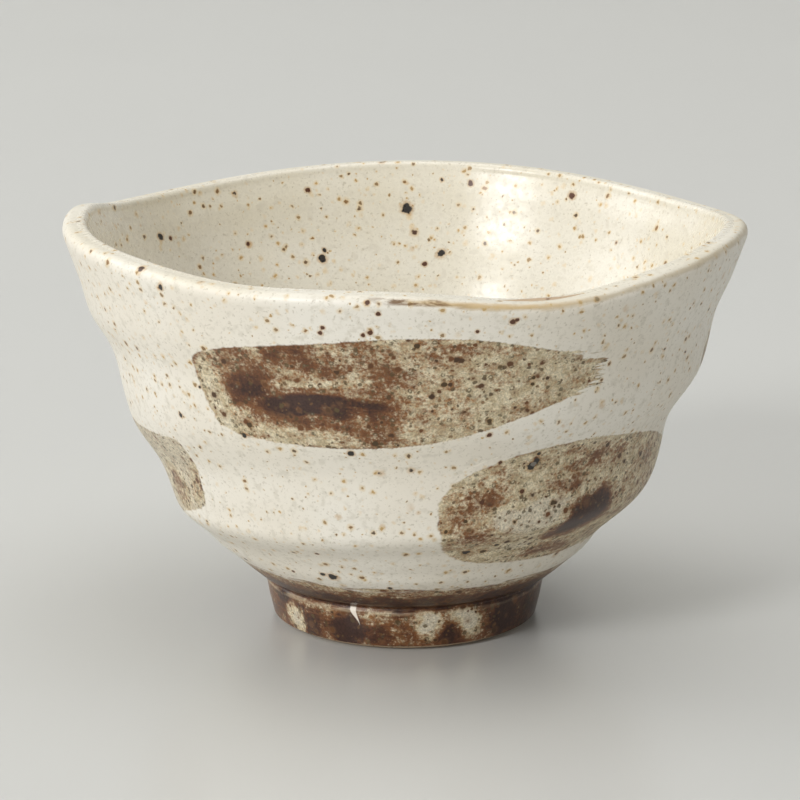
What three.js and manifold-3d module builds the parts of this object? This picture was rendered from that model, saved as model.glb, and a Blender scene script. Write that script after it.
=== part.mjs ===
// Wheel-thrown stoneware tea bowl: a clay wall on a foot ring, under a white glaze with iron brush strokes.
// Millimetres, +Z up. The foot stands on z = 0, the bowl is turned about the Z axis and its front faces -Y.

import * as THREE from "three";
import { mergeVertices } from "three/addons/utils/BufferGeometryUtils.js";
import Module from "manifold-3d";

const wasm = await Module();
wasm.setup();

// Foot ring, glazed sizes outside and clay sizes inside
const FOOT_HEIGHT = 8.2;
const FOOT_BASE_RADIUS = 24;
const FOOT_TOP_RADIUS = 25.4;
const FOOT_WALL = 5;
const FOOT_TAPER = 1.2;
const FOOT_BEVEL = 0.8;

// Bowl: its glazed rim, and stations of the wall in shares of the flare and the rise from joint to rim
const RIM_RADIUS = 60.8;
const BOWL_HEIGHT = 72.6;
const JOINT_FLARE = 0.5;
const HIP = { flare: 0.218, rise: 0.106 };
const BELLY = { flare: 0.476, rise: 0.261 };
const WAIST = { flare: 0.668, rise: 0.494 };
const SHOULDER = { flare: 0.842, rise: 0.727 };

// Thickness of the glazed wall at its belly, of the lip and of the floor
const WALL_THICKNESS = 5.6;
const LIP_THICKNESS = 4.4;
const LIP_LEAN = 19;
const FLOOR_THICKNESS = 7;
const FLOOR_REACH = 18;
const FLOOR_ROUNDING = 12;

// Spiral finger marks of the throwing, outside only: the spiral sways up in front, its height is above
// the joint, and it fades in and out over shares of the rise from the joint to the rim
const MARK_DEPTH = 0.9;
const MARK_PITCH = 20.8;
const MARK_HEIGHT = 39.3;
const MARK_SWAY = 5.5;
const MARK_SKEW = 0.25;
const MARKS_FADE_IN = [0.05, 0.19];
const MARKS_FADE_OUT = [0.68, 0.9];

// Waves of the pressed rim: how many round the bowl, how high, turned by how many degrees, and the share
// of the rise that they start at
const RIM_WAVES = [
  { count: 2, rise: 0.33, turn: -7 },
  { count: 3, rise: 0.84, turn: 32 },
  { count: 4, rise: 0.63, turn: 5 },
  { count: 5, rise: 0.37, turn: 22 },
];
const WAVES_START = 0.34;

// Glaze coats
const GLAZE = 0.7;
const SEAT = 0.15;
const BAND_HEIGHT = 6.1;
const BARE_EDGE = 0.9;
const WELL_BARE_EDGE = 2;

// Iron strokes sink this far into the white glaze
const STROKE_DEPTH = 0.35;

// Facets, and halvings of a search along the wall
const COLUMNS = 42;
const WALL_ROWS = 16;
const BAND_ROWS = 3;
const LIP_ROWS = 3;
const INSIDE_ROWS = 6;
const FLOOR_ROWS = 5;
const STROKE_STEPS = 36;
const HALVINGS = 40;

// Brush strokes seen square on: degrees round the bowl from +X, the middle and the reach up from it in
// shares of the rise, the reach across in shares of the rim radius, and an outline in shares of both reaches
const STROKES = [
  {
    name: "front_stroke",
    facing: -90,
    middle: 0.72,
    up: 0.162,
    across: 0.586,
    outline: [
      [-1, 0.36], [-0.9, 0.66], [-0.62, 0.8], [-0.13, 1], [0.31, 0.99], [0.66, 0.74], [0.86, 0.48],
      [0.91, 0.18], [0.81, -0.14], [0.49, -0.54], [0.11, -0.88], [-0.39, -1], [-0.81, -0.88], [-0.93, -0.45],
    ],
  },
  {
    name: "right_stroke",
    facing: -42,
    middle: 0.354,
    up: 0.193,
    across: 0.503,
    outline: [
      [-1, 0.1], [-0.99, 0.38], [-0.9, 0.66], [-0.69, 0.91], [-0.28, 1], [0.25, 0.81], [0.58, 0.59],
      [0.95, 0.14], [0.98, -0.32], [0.67, -0.85], [0.25, -1], [-0.32, -0.98], [-0.69, -0.83], [-0.92, -0.44],
    ],
  },
  {
    name: "left_stroke",
    facing: 176,
    middle: 0.345,
    up: 0.158,
    across: 0.582,
    outline: [
      [1, 1], [0.95, 0.62], [0.83, -0.04], [0.61, -0.47], [0.42, -0.74], [0.08, -0.97], [-0.3, -1],
      [-0.59, -0.8], [-0.86, -0.26], [-0.85, 0.37], [-0.6, 0.76], [-0.15, 0.84], [0.24, 0.8], [0.71, 0.92],
    ],
  },
  {
    name: "back_stroke",
    facing: 22,
    middle: 0.696,
    up: 0.132,
    across: 0.549,
    outline: [
      [-1, -0.12], [-0.89, 0.35], [-0.51, 0.8], [0, 1], [0.54, 0.87], [0.92, 0.49], [1, -0.02],
      [0.86, -0.59], [0.48, -0.89], [0, -1], [-0.46, -0.94], [-0.84, -0.65],
    ],
  },
];

// Colours of the fired clay, the white glaze and the iron
const CLAY = { color: 0xb79f84, roughness: 0.9, metalness: 0 };
const WHITE = { color: 0xe6decd, roughness: 0.35, metalness: 0 };
const IRON = { color: 0x6f5644, roughness: 0.4, metalness: 0 };
const FOOT_IRON = { color: 0x4b3427, roughness: 0.3, metalness: 0 };

// Joint of foot and bowl, stations of the finished wall, inside floor and top of the iron band
const joint = new THREE.Vector2(FOOT_TOP_RADIUS + JOINT_FLARE, FOOT_HEIGHT);
const wholeFlare = RIM_RADIUS - joint.x;
const wholeRise = BOWL_HEIGHT - joint.y;
const [hip, belly, waist, shoulder] = [HIP, BELLY, WAIST, SHOULDER].map(
  ({ flare, rise }) => new THREE.Vector2(joint.x + flare * wholeFlare, joint.y + rise * wholeRise),
);
const floorHeight = FOOT_HEIGHT + FLOOR_THICKNESS;
const bandTop = FOOT_HEIGHT + BAND_HEIGHT;

const { degToRad, lerp, smoothstep } = THREE.MathUtils;

// A point of an outline: its place, the way out of the clay there, and how much the fingers marked it.
// Its station is the finished height that its warp is read at, so that every layer warps alike.
function at(radius, height, outward = new THREE.Vector2(), marked = 0) {
  return { radius, height, station: height, outward, marked };
}

// A point of a curve that runs with the clay on its left
function onCurve(curve, share, marked) {
  const place = curve.getPointAt(share);
  const along = curve.getTangentAt(share);
  return at(place.x, place.y, new THREE.Vector2(along.y, -along.x), marked);
}

// The outline moved out of the clay, or into it where the distance is negative; the axis point stays there
function offset(outline, distance) {
  return outline.map((point) => {
    const radius = point.radius === 0 ? 0 : point.radius + point.outward.x * distance;
    const height = point.height + point.outward.y * distance;
    return { ...point, radius, height };
  });
}

// Evenly spaced values from one to another
function steps(from, to, count) {
  return Array.from({ length: count + 1 }, (_, i) => lerp(from, to, i / count));
}

// Half-round lip, from the outside wall over the crest to the inside wall
const lipOutside = -degToRad(LIP_LEAN);
const lipCrest = Math.PI / 2;
const lipInside = lipOutside + Math.PI;
const lipCentre = new THREE.Vector2(RIM_RADIUS - LIP_THICKNESS / 2, BOWL_HEIGHT - LIP_THICKNESS / 2);

function onLip(angle) {
  const outward = new THREE.Vector2(Math.cos(angle), Math.sin(angle));
  const place = outward.clone().multiplyScalar(LIP_THICKNESS / 2).add(lipCentre);
  return at(place.x, place.y, outward);
}

// Outside of the wall, from the joint to the lip
const lipStart = onLip(lipOutside);
const wallEnd = new THREE.Vector2(lipStart.radius, lipStart.height);
const wallCurve = new THREE.SplineCurve([joint, hip, belly, waist, shoulder, wallEnd]);

// The share of the wall curve that lies below a height, found by halving
function shareBelow(height) {
  let low = 0;
  let high = 1;
  for (let halving = 0; halving < HALVINGS; halving += 1) {
    const middle = (low + high) / 2;
    if (wallCurve.getPointAt(middle).y < height) low = middle;
    else high = middle;
  }
  return low;
}

function wallOutline(fromShare, toShare, rows) {
  return steps(fromShare, toShare, rows).map((share) => onCurve(wallCurve, share, 1));
}

// Inside of the wall follows the outside down to the belly, then rounds into the floor
function insideWall() {
  const outside = wallOutline(1, shareBelow(belly.y), INSIDE_ROWS);
  const inward = outside.map((point, i) => {
    const thickness = lerp(LIP_THICKNESS, WALL_THICKNESS, i / INSIDE_ROWS);
    const [moved] = offset([point], -thickness);
    return at(moved.radius, moved.height, point.outward.clone().negate());
  });
  const start = inward[INSIDE_ROWS];
  const downward = new THREE.Vector2(-start.outward.y, start.outward.x);
  const floor = new THREE.CubicBezierCurve(
    new THREE.Vector2(start.radius, start.height),
    new THREE.Vector2(start.radius, start.height).addScaledVector(downward, FLOOR_ROUNDING),
    new THREE.Vector2(FLOOR_REACH, floorHeight),
    new THREE.Vector2(0, floorHeight),
  );
  const rounded = steps(0, 1, FLOOR_ROWS).map((share) => onCurve(floor, share, 0));
  return [...inward.slice(1), ...rounded.slice(1)];
}

// Radial reach of the spiral finger marks, which drop off more quickly below each crest than above it
function fingerMark(angle, height) {
  const rise = height - FOOT_HEIGHT;
  const fadeIn = smoothstep(rise / wholeRise, ...MARKS_FADE_IN);
  const fadeOut = 1 - smoothstep(rise / wholeRise, ...MARKS_FADE_OUT);
  const crest = MARK_HEIGHT - MARK_SWAY * Math.sin(angle);
  const phase = (2 * Math.PI * (rise - crest)) / MARK_PITCH - angle;
  const skewed = phase - MARK_SKEW * (1 - Math.cos(phase));
  return MARK_DEPTH * Math.cos(skewed) * fadeIn * fadeOut;
}

// Lift of the waving rim, which dies out down the wall
function rimLift(angle, height) {
  const share = smoothstep((height - FOOT_HEIGHT) / wholeRise, WAVES_START, 1);
  let wave = 0;
  for (const { count, rise, turn } of RIM_WAVES) {
    wave += rise * Math.cos(count * (angle + degToRad(turn)));
  }
  return wave * share;
}

// Turns an outline on the wheel, then marks and waves it by hand
function turned(outline) {
  const profile = outline.map((point) => new THREE.Vector2(point.radius, point.height));
  const geometry = new THREE.LatheGeometry(profile, COLUMNS);
  geometry.rotateX(Math.PI / 2);
  const position = geometry.attributes.position;
  for (let i = 0; i < position.count; i += 1) {
    const point = outline[i % outline.length];
    const angle = Math.atan2(position.getY(i), position.getX(i));
    const radius = point.radius + point.marked * fingerMark(angle, point.station);
    const height = point.height + rimLift(angle, point.station);
    position.setXYZ(i, radius * Math.cos(angle), radius * Math.sin(angle), height);
  }
  geometry.setIndex(turnedFaces(outline));
  return welded(geometry);
}

// Faces of a turned outline, with every quad split the same way up whichever way its outline runs,
// so that neighbouring layers stay parallel between their points too
function turnedFaces(outline) {
  const faces = [];
  for (let column = 0; column < COLUMNS; column += 1) {
    for (let row = 0; row < outline.length - 1; row += 1) {
      const here = column * outline.length + row;
      const beside = here + outline.length;
      if (outline[row + 1].station > outline[row].station) {
        faces.push(here, beside, here + 1, beside + 1, here + 1, beside);
      } else {
        faces.push(here, beside, beside + 1, here, beside + 1, here + 1);
      }
    }
  }
  return faces;
}

function welded(geometry) {
  geometry.deleteAttribute("normal");
  geometry.deleteAttribute("uv");
  return mergeVertices(geometry);
}

// A closed coat between two depths of an outline that runs up the bowl
function coat(outline, outer, inner) {
  const outside = offset(outline, outer);
  const back = offset(outline, inner).reverse();
  return turned([...outside, ...back, outside[0]]);
}

function toSolid(geometry) {
  const vertProperties = new Float32Array(geometry.attributes.position.array);
  const triVerts = new Uint32Array(geometry.index.array);
  return new wasm.Manifold(new wasm.Mesh({ numProp: 3, vertProperties, triVerts }));
}

function toGeometry(solid) {
  const { vertProperties, triVerts } = solid.getMesh();
  const geometry = new THREE.BufferGeometry();
  geometry.setAttribute("position", new THREE.BufferAttribute(vertProperties, 3));
  geometry.setIndex(new THREE.BufferAttribute(triVerts, 1));
  return geometry;
}

function piece(name, geometry, look) {
  geometry.computeVertexNormals();
  const mesh = new THREE.Mesh(geometry, new THREE.MeshStandardMaterial(look));
  mesh.name = name;
  return mesh;
}

// Outlines shared by the clay and its coats
const bandShare = shareBelow(bandTop);
const seatAngle = SEAT / LIP_THICKNESS;
const wallBelowBand = wallOutline(0, bandShare, BAND_ROWS);
const wallAboveBand = wallOutline(bandShare, 1, WALL_ROWS);
const insideOutline = insideWall();
const clayDepth = -(GLAZE + SEAT);

// Clay of the bowl: flat underside, outside wall, lip, inside wall and floor
function bowlWall() {
  const finished = [
    ...wallBelowBand,
    ...wallAboveBand.slice(1),
    ...steps(lipOutside, lipCrest, LIP_ROWS).slice(1).map(onLip),
    ...steps(lipCrest, lipInside, LIP_ROWS).slice(1).map(onLip),
    ...insideOutline,
  ];
  const clay = offset(finished, clayDepth);
  const foot = clay[0];
  const slope = (clay[1].radius - foot.radius) / (clay[1].height - foot.height);
  const cornerRadius = foot.radius - slope * (foot.height - FOOT_HEIGHT);
  const underside = [at(0, FOOT_HEIGHT), at(cornerRadius, FOOT_HEIGHT)];
  return turned([...underside, ...clay.slice(1)]);
}

// Clay ring luted under the bowl, with worn edges on its bare resting face
const ringBase = FOOT_BASE_RADIUS + clayDepth;
const ringTop = FOOT_TOP_RADIUS + clayDepth;
const wellBase = ringBase - FOOT_WALL;
const wellTop = wellBase - FOOT_TAPER;

function footRing() {
  const corners = [
    at(wellBase + FOOT_BEVEL, 0),
    at(ringBase - FOOT_BEVEL, 0),
    at(ringBase, FOOT_BEVEL),
    at(ringTop, FOOT_HEIGHT),
    at(wellTop, FOOT_HEIGHT),
    at(wellBase, FOOT_BEVEL),
  ];
  return turned([...corners, corners[0]]);
}

// White glaze poured inside, up to the crest of the lip
function insideGlaze() {
  const finished = [...steps(lipCrest + seatAngle, lipInside, LIP_ROWS).map(onLip), ...insideOutline];
  const under = offset(finished, -GLAZE).reverse();
  return turned([...under, ...finished]);
}

// White glaze outside, from the crest of the lip down to the iron band
const whiteOutline = [
  onCurve(wallCurve, shareBelow(bandTop + SEAT), 1),
  ...wallAboveBand.slice(1),
  ...steps(lipOutside, lipCrest - seatAngle, LIP_ROWS).slice(1).map(onLip),
];

// Iron glaze on the foot's side, across the joint and up the lowest part of the wall
function footGlaze() {
  const outward = new THREE.Vector2(1, 0);
  const side = at(lerp(FOOT_BASE_RADIUS, FOOT_TOP_RADIUS, BARE_EDGE / FOOT_HEIGHT), BARE_EDGE, outward);
  const top = at(FOOT_TOP_RADIUS, FOOT_HEIGHT - JOINT_FLARE, outward);
  return coat([side, top, ...wallBelowBand], 0, -GLAZE);
}

// Thin coat in the well, on the bowl's underside and the inner side of the ring
function footWellGlaze() {
  const roof = FOOT_HEIGHT - SEAT;
  const edge = lerp(wellBase, wellTop, WELL_BARE_EDGE / FOOT_HEIGHT) - SEAT;
  const corner = wellTop - SEAT;
  return turned([
    at(0, roof - GLAZE),
    at(corner - GLAZE, roof - GLAZE),
    at(edge - GLAZE, WELL_BARE_EDGE),
    at(edge, WELL_BARE_EDGE),
    at(corner, roof),
    at(0, roof),
  ]);
}

// Closed smooth outline of a stroke, grown outwards by a margin
function strokeShape({ middle, across, up, outline }, margin) {
  const knots = outline.map(([x, y]) => {
    const height = FOOT_HEIGHT + (middle + y * up) * wholeRise;
    return new THREE.Vector3(x * across * RIM_RADIUS, height, 0);
  });
  const curve = new THREE.CatmullRomCurve3(knots, true);
  const rim = curve.getSpacedPoints(STROKE_STEPS).slice(0, -1);
  const turning = THREE.ShapeUtils.isClockWise(rim) ? -1 : 1;
  const grown = rim.map((point, i) => {
    const along = curve.getTangentAt(i / STROKE_STEPS);
    return new THREE.Vector2(point.x + along.y * margin * turning, point.y - along.x * margin * turning);
  });
  return new THREE.Shape(grown);
}

// Prism from the bowl's axis out through the wall, square to the way the stroke faces
function strokePrism(stroke, margin) {
  const shape = strokeShape(stroke, margin);
  const prism = new THREE.ExtrudeGeometry(shape, { depth: RIM_RADIUS + LIP_THICKNESS, bevelEnabled: false });
  const facing = degToRad(stroke.facing);
  const outward = new THREE.Vector3(Math.cos(facing), Math.sin(facing), 0);
  const upward = new THREE.Vector3(0, 0, 1);
  const sideways = new THREE.Vector3().crossVectors(upward, outward);
  prism.applyMatrix4(new THREE.Matrix4().makeBasis(sideways, upward, outward));
  return toSolid(welded(prism));
}

// The white glaze gets a pocket for each stroke, and the stroke lies in it flush with the surface
const pocketLayer = toSolid(coat(whiteOutline, STROKE_DEPTH, -STROKE_DEPTH));
const strokeLayer = toSolid(coat(whiteOutline, 0, SEAT - STROKE_DEPTH));
let whiteGlaze = toSolid(coat(whiteOutline, 0, -GLAZE));
for (const stroke of STROKES) {
  whiteGlaze = whiteGlaze.subtract(pocketLayer.intersect(strokePrism(stroke, SEAT)));
}

const bowl = new THREE.Group();
bowl.add(piece("bowl_wall", bowlWall(), CLAY));
bowl.add(piece("foot_ring", footRing(), CLAY));
bowl.add(piece("inside_glaze", insideGlaze(), WHITE));
bowl.add(piece("outside_glaze", toGeometry(whiteGlaze), WHITE));
bowl.add(piece("foot_glaze", footGlaze(), FOOT_IRON));
bowl.add(piece("foot_well_glaze", footWellGlaze(), FOOT_IRON));
for (const stroke of STROKES) {
  bowl.add(piece(stroke.name, toGeometry(strokeLayer.intersect(strokePrism(stroke, 0))), IRON));
}

export default bowl;
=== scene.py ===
import math

import bpy
import numpy as np
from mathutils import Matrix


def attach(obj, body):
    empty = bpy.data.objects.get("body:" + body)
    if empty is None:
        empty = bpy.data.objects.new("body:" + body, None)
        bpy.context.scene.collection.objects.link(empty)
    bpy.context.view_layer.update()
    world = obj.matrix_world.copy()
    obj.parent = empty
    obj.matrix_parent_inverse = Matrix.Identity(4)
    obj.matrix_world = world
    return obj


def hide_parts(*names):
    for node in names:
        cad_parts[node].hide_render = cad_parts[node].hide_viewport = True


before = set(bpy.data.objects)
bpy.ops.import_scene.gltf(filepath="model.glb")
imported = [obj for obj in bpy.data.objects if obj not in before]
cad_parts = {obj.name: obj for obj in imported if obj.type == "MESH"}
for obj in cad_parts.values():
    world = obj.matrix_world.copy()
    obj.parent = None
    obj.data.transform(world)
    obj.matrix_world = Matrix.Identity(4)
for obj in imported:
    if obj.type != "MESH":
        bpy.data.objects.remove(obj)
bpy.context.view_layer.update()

bpy.context.scene.view_settings.view_transform = "Standard"


# Clay wall of the bowl
# Coarse stoneware thrown on the wheel and fired to a warm buff. The glaze coats hide all of it,
# so the turned solid stays as it is and only takes its clay.
def tone(red, green, blue):
    """A colour as the eye reads it, 0 to 255, turned into the light that a shader works with."""
    shares = [value / 255 for value in (red, green, blue)]
    light = [share / 12.92 if share < 0.04 else ((share + 0.055) / 1.055) ** 2.4 for share in shares]
    return (*light, 1.0)


def feed(tree, value, socket):
    """Links what another node makes to a socket, or sets the socket to a plain value."""
    if isinstance(value, bpy.types.NodeSocket):
        tree.links.new(value, socket)
    else:
        socket.default_value = value


def add_node(tree, kind, settings=None, **sockets):
    """A new shader node of a kind with its settings, and with its named sockets fed."""
    made = tree.nodes.new("ShaderNode" + kind)
    for name, value in (settings or {}).items():
        setattr(made, name, value)
    for name, value in sockets.items():
        feed(tree, value, made.inputs[name.replace("_", " ")])
    return made


def reckon(tree, operation, *values):
    """A sum worked out by the shader."""
    made = add_node(tree, "Math", {"operation": operation})
    for value, socket in zip(values, made.inputs):
        feed(tree, value, socket)
    return made.outputs[0]


def reckon_places(tree, operation, *values):
    """A sum worked out by the shader on places, with a place and a plain value for its results."""
    made = add_node(tree, "VectorMath", {"operation": operation})
    for value, socket in zip(values, made.inputs):
        feed(tree, value, socket)
    return made.outputs


def times(tree, value, other):
    """One value times another."""
    return reckon(tree, "MULTIPLY", value, other)


def blend(tree, share, under, over, mode="MIX"):
    """One colour laid over another, by a share from 0 to 1."""
    made = add_node(tree, "Mix", {"data_type": "RGBA", "blend_type": mode})
    for value, index in ((share, 0), (under, 6), (over, 7)):
        feed(tree, value, made.inputs[index])
    return made.outputs[2]


def between(tree, value, low, high, start=0.0, end=1.0):
    """A smooth passage from start to end while the value goes from low to high."""
    made = add_node(tree, "MapRange", {"interpolation_type": "SMOOTHSTEP"})
    for setting, index in ((value, 0), (low, 1), (high, 2), (start, 3), (end, 4)):
        feed(tree, setting, made.inputs[index])
    return made.outputs[0]


def band(tree, value, rise, fall, share=1.0):
    """A share inside a band of values. Each edge is given from where it is nought to where it is full."""
    return times(tree, between(tree, value, *rise), between(tree, value, *fall, 0.0, share))


def mottle(tree, where, scale, detail=2.0, roughness=0.5):
    """A cloudy value about one half, with as many clouds to the metre as its scale says."""
    made = add_node(tree, "TexNoise", Vector=where, Scale=scale, Detail=detail)
    made.inputs["Roughness"].default_value = roughness
    return made.outputs["Fac"]


def swayed(tree, value, cloud, reach):
    """A value pushed up or down by a cloudy value about one half, times the reach."""
    return reckon(tree, "MULTIPLY_ADD", reckon(tree, "SUBTRACT", cloud, 0.5), reach, value)


def new_material(name):
    """An empty material with its shader, and the place on the piece that its patterns read."""
    material = bpy.data.materials.new(name)
    material.use_nodes = True
    tree = material.node_tree
    shader = tree.nodes["Principled BSDF"]
    where = add_node(tree, "TexCoord").outputs["Object"]
    return material, tree, shader, where


BUFF = tone(176, 150, 122)
PALE_BUFF = tone(199, 179, 153)
GROG_BROWN = tone(128, 104, 82)
GROG_RELIEF = 0.0002

clay, tree, shader, where = new_material("buff_stoneware")
grog = mottle(tree, where, 900.0, 4.0, 0.6)
cloud = mottle(tree, where, 90.0, 3.0)
colour = blend(tree, cloud, BUFF, PALE_BUFF)
colour = blend(tree, between(tree, grog, 0.58, 0.72), colour, GROG_BROWN)
feed(tree, colour, shader.inputs["Base Color"])
shader.inputs["Roughness"].default_value = 0.85
relief = add_node(tree, "Bump", Height=grog, Strength=0.4, Distance=GROG_RELIEF)
feed(tree, relief.outputs["Normal"], shader.inputs["Normal"])

bowl_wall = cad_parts["bowl_wall"]
bowl_wall.data.materials.clear()
bowl_wall.data.materials.append(clay)


# Foot ring
# A ring of the same clay, luted under the bowl and trimmed on the wheel. Its resting face is wiped bare
# of glaze, and its two lower edges are worn round.
MM = 0.001
COLUMNS = 288
MERGE_GAP = 0.01 * MM
SOFT_EDGE = math.radians(50)


def turn_up(name, outline):
    """Draws an outline of radii and heights in millimetres, and spins it round the Z axis."""
    bpy.ops.object.select_all(action="DESELECT")
    bpy.ops.mesh.primitive_plane_add(size=MM)
    turned = bpy.context.object
    turned.name = name
    bpy.ops.object.mode_set(mode="EDIT")
    bpy.ops.mesh.merge(type="CENTER")
    here = (0.0, 0.0)
    for index, (radius, height) in enumerate(outline):
        step = ((radius - here[0]) * MM, 0.0, (height - here[1]) * MM)
        if index == 0:
            bpy.ops.transform.translate(value=step)
        else:
            bpy.ops.mesh.extrude_vertices_move(TRANSFORM_OT_translate={"value": step})
        here = (radius, height)
    bpy.ops.mesh.select_all(action="SELECT")
    bpy.ops.mesh.spin(steps=COLUMNS, angle=2 * math.pi, center=(0, 0, 0), axis=(0, 0, 1))
    bpy.ops.mesh.select_all(action="SELECT")
    bpy.ops.mesh.remove_doubles(threshold=MERGE_GAP)
    bpy.ops.mesh.normals_make_consistent(inside=False)
    bpy.ops.object.mode_set(mode="OBJECT")
    bpy.ops.object.shade_smooth_by_angle(angle=SOFT_EDGE)
    return turned


def rounded(corners, radius, steps=6):
    """An outline whose inner corners are rounded off by an even curve of the given radius."""
    soft = [corners[0]]
    for before, corner, after in zip(corners, corners[1:], corners[2:]):
        start = np.array(before, float)
        middle = np.array(corner, float)
        end = np.array(after, float)
        reach_in = min(radius, np.linalg.norm(start - middle) / 2)
        reach_out = min(radius, np.linalg.norm(end - middle) / 2)
        first = middle + (start - middle) / np.linalg.norm(start - middle) * reach_in
        last = middle + (end - middle) / np.linalg.norm(end - middle) * reach_out
        for share in np.linspace(0, 1, steps):
            rest = 1 - share
            soft.append(tuple(rest ** 2 * first + 2 * share * rest * middle + share ** 2 * last))
    soft.append(corners[-1])
    return soft


RING_BASE = 23.15
RING_TOP = 24.55
WELL_BASE = 18.15
WELL_TOP = 16.95
FOOT_HEIGHT = 8.2
WORN_EDGE = 1.0

ring_corners = [(WELL_TOP, FOOT_HEIGHT), (WELL_BASE, 0.0), (RING_BASE, 0.0), (RING_TOP, FOOT_HEIGHT)]
ring_outline = rounded(ring_corners, WORN_EDGE)
foot_ring = turn_up("worn_foot_ring", ring_outline + ring_outline[:1])
foot_ring.data.materials.append(clay)
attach(foot_ring, "root")
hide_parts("foot_ring")


# White glaze inside
# A milky feldspar glaze poured in and swilled round, from the crest of the lip down to the floor.
# Iron grains in the clay bleed up through it as specks with ochre halos.
RIM_RADIUS = 60.8
BOWL_HEIGHT = 72.6
JOINT_RADIUS = 25.9
# Where the wall passes between the joint and the lip, as shares of the whole flare and of the whole rise.
STATIONS = [(0.218, 0.106), (0.476, 0.261), (0.668, 0.494), (0.842, 0.727)]
LIP_THICKNESS = 4.4
LIP_LEAN = math.radians(19)
LIP_CORNER = 0.2
WALL_THICKNESS = 5.6
FLOOR_THICKNESS = 7.0
FLOOR_REACH = 18.0
FLOOR_ROUNDING = 12.0
# Each wave of the rim: how many times round, its height in millimetres, and its turn in degrees.
RIM_WAVES = [(2, 0.33, -7), (3, 0.84, 32), (4, 0.63, 5), (5, 0.37, 22)]
WAVES_START = 0.34
# Each press of the rim: its place and its reach in degrees, and its rise in millimetres.
RIM_PRESSES = [(172, 17, 1.1), (222, 26, 0.9), (292, 24, -1.1)]
PRESSES_START = 0.6
GLAZE = 0.7
WHOLE_FLARE = RIM_RADIUS - JOINT_RADIUS
WHOLE_RISE = BOWL_HEIGHT - FOOT_HEIGHT
CURVE_STEPS = 1200
WALL_STEPS = 400
ROUNDING_STEPS = 60
INNER_LIP_STEPS = 12


def eased(value, low, high):
    """A smooth passage from 0 to 1 while the value goes from low to high."""
    share = np.clip((value - low) / (high - low), 0.0, 1.0)
    return share * share * (3.0 - 2.0 * share)


def on_lip(angle):
    """A place on the lip, which is filled out at its two corners, where a finger levelled it."""
    half = LIP_THICKNESS / 2
    start, end = (-LIP_LEAN, math.pi / 2) if angle < math.pi / 2 else (math.pi / 2, math.pi - LIP_LEAN)
    full = half * (1 + LIP_CORNER * math.sin(math.pi * (angle - start) / (end - start)) ** 2)
    return RIM_RADIUS - half + full * math.cos(angle), BOWL_HEIGHT - half + full * math.sin(angle)


def drawn_through(knots, count):
    """A smooth curve through the knots, evenly stepped along its length."""
    knots = np.array(knots, float)
    last = len(knots) - 1
    places = []
    for value in np.linspace(0, last, CURVE_STEPS):
        i = min(int(value), last - 1)
        w = value - i
        before = knots[max(i - 1, 0)]
        here = knots[i]
        there = knots[i + 1]
        after = knots[min(i + 2, last)]
        leave = (there - before) / 2
        arrive = (after - here) / 2
        cubic = (2 * here - 2 * there + leave + arrive) * w ** 3
        places.append(cubic + (3 * there - 3 * here - 2 * leave - arrive) * w ** 2 + leave * w + here)
    places = np.array(places)
    steps = np.linalg.norm(np.diff(places, axis=0), axis=1)
    length = np.concatenate([[0], np.cumsum(steps)])
    even = np.linspace(0, length[-1], count)
    return np.stack([np.interp(even, length, side) for side in places.T], axis=1)


wall_knots = [(JOINT_RADIUS, FOOT_HEIGHT)]
for flare, rise in STATIONS:
    wall_knots.append((JOINT_RADIUS + flare * WHOLE_FLARE, FOOT_HEIGHT + rise * WHOLE_RISE))
wall_knots.append(on_lip(-LIP_LEAN))
wall_line = drawn_through(wall_knots, WALL_STEPS)


def rim_lift(angle, height):
    """The rim's slow waves, and the places where it was pressed up or down, fading out down the wall."""
    risen = (height - FOOT_HEIGHT) / WHOLE_RISE
    lift = sum(rise * np.cos(count * (angle + math.radians(turn))) for count, rise, turn in RIM_WAVES)
    for middle, reach, rise in RIM_PRESSES:
        away = np.degrees(np.abs(np.angle(np.exp(1j * (angle - math.radians(middle))))))
        lift = lift + rise * (1 - eased(away, 0.0, reach)) * eased(risen, PRESSES_START, 1.0)
    return eased(risen, WAVES_START, 1.0) * lift


def inside_outline():
    """Down the inside from the crest of the lip to the middle of the floor."""
    lip = [on_lip(angle) for angle in np.linspace(math.pi / 2, math.pi - LIP_LEAN, INNER_LIP_STEPS)]
    belly_height = FOOT_HEIGHT + STATIONS[1][1] * WHOLE_RISE
    upper = wall_line[wall_line[:, 1] >= belly_height][::-1]
    along = np.gradient(upper, axis=0)
    along /= np.linalg.norm(along, axis=1)[:, None]
    inward = np.stack([along[:, 1], -along[:, 0]], axis=1)
    thickness = np.linspace(LIP_THICKNESS, WALL_THICKNESS, len(upper))[:, None]
    wall = (upper + inward * thickness)[::4]
    start = wall[-1]
    bends = [start, start + along[-1] * FLOOR_ROUNDING]
    floor = FOOT_HEIGHT + FLOOR_THICKNESS
    bends += [np.array([FLOOR_REACH, floor]), np.array([0.0, floor])]
    rounding = []
    for share in np.linspace(0, 1, ROUNDING_STEPS)[1:]:
        rest = 1 - share
        weights = (rest ** 3, 3 * rest ** 2 * share, 3 * rest * share ** 2, share ** 3)
        rounding.append(tuple(sum(weight * bend for weight, bend in zip(weights, bends))))
    return lip + [tuple(point) for point in wall[1:]] + rounding


def points_of(piece):
    """The places of a mesh's points, one to a row, in metres."""
    places = np.empty(len(piece.data.vertices) * 3)
    piece.data.vertices.foreach_get("co", places)
    return places.reshape(-1, 3)


def keep_on_points(piece, name, values):
    """Keeps a value on every point of a mesh, for its material to read."""
    piece.data.attributes.new(name, "FLOAT", "POINT").data.foreach_set("value", values)


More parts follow.
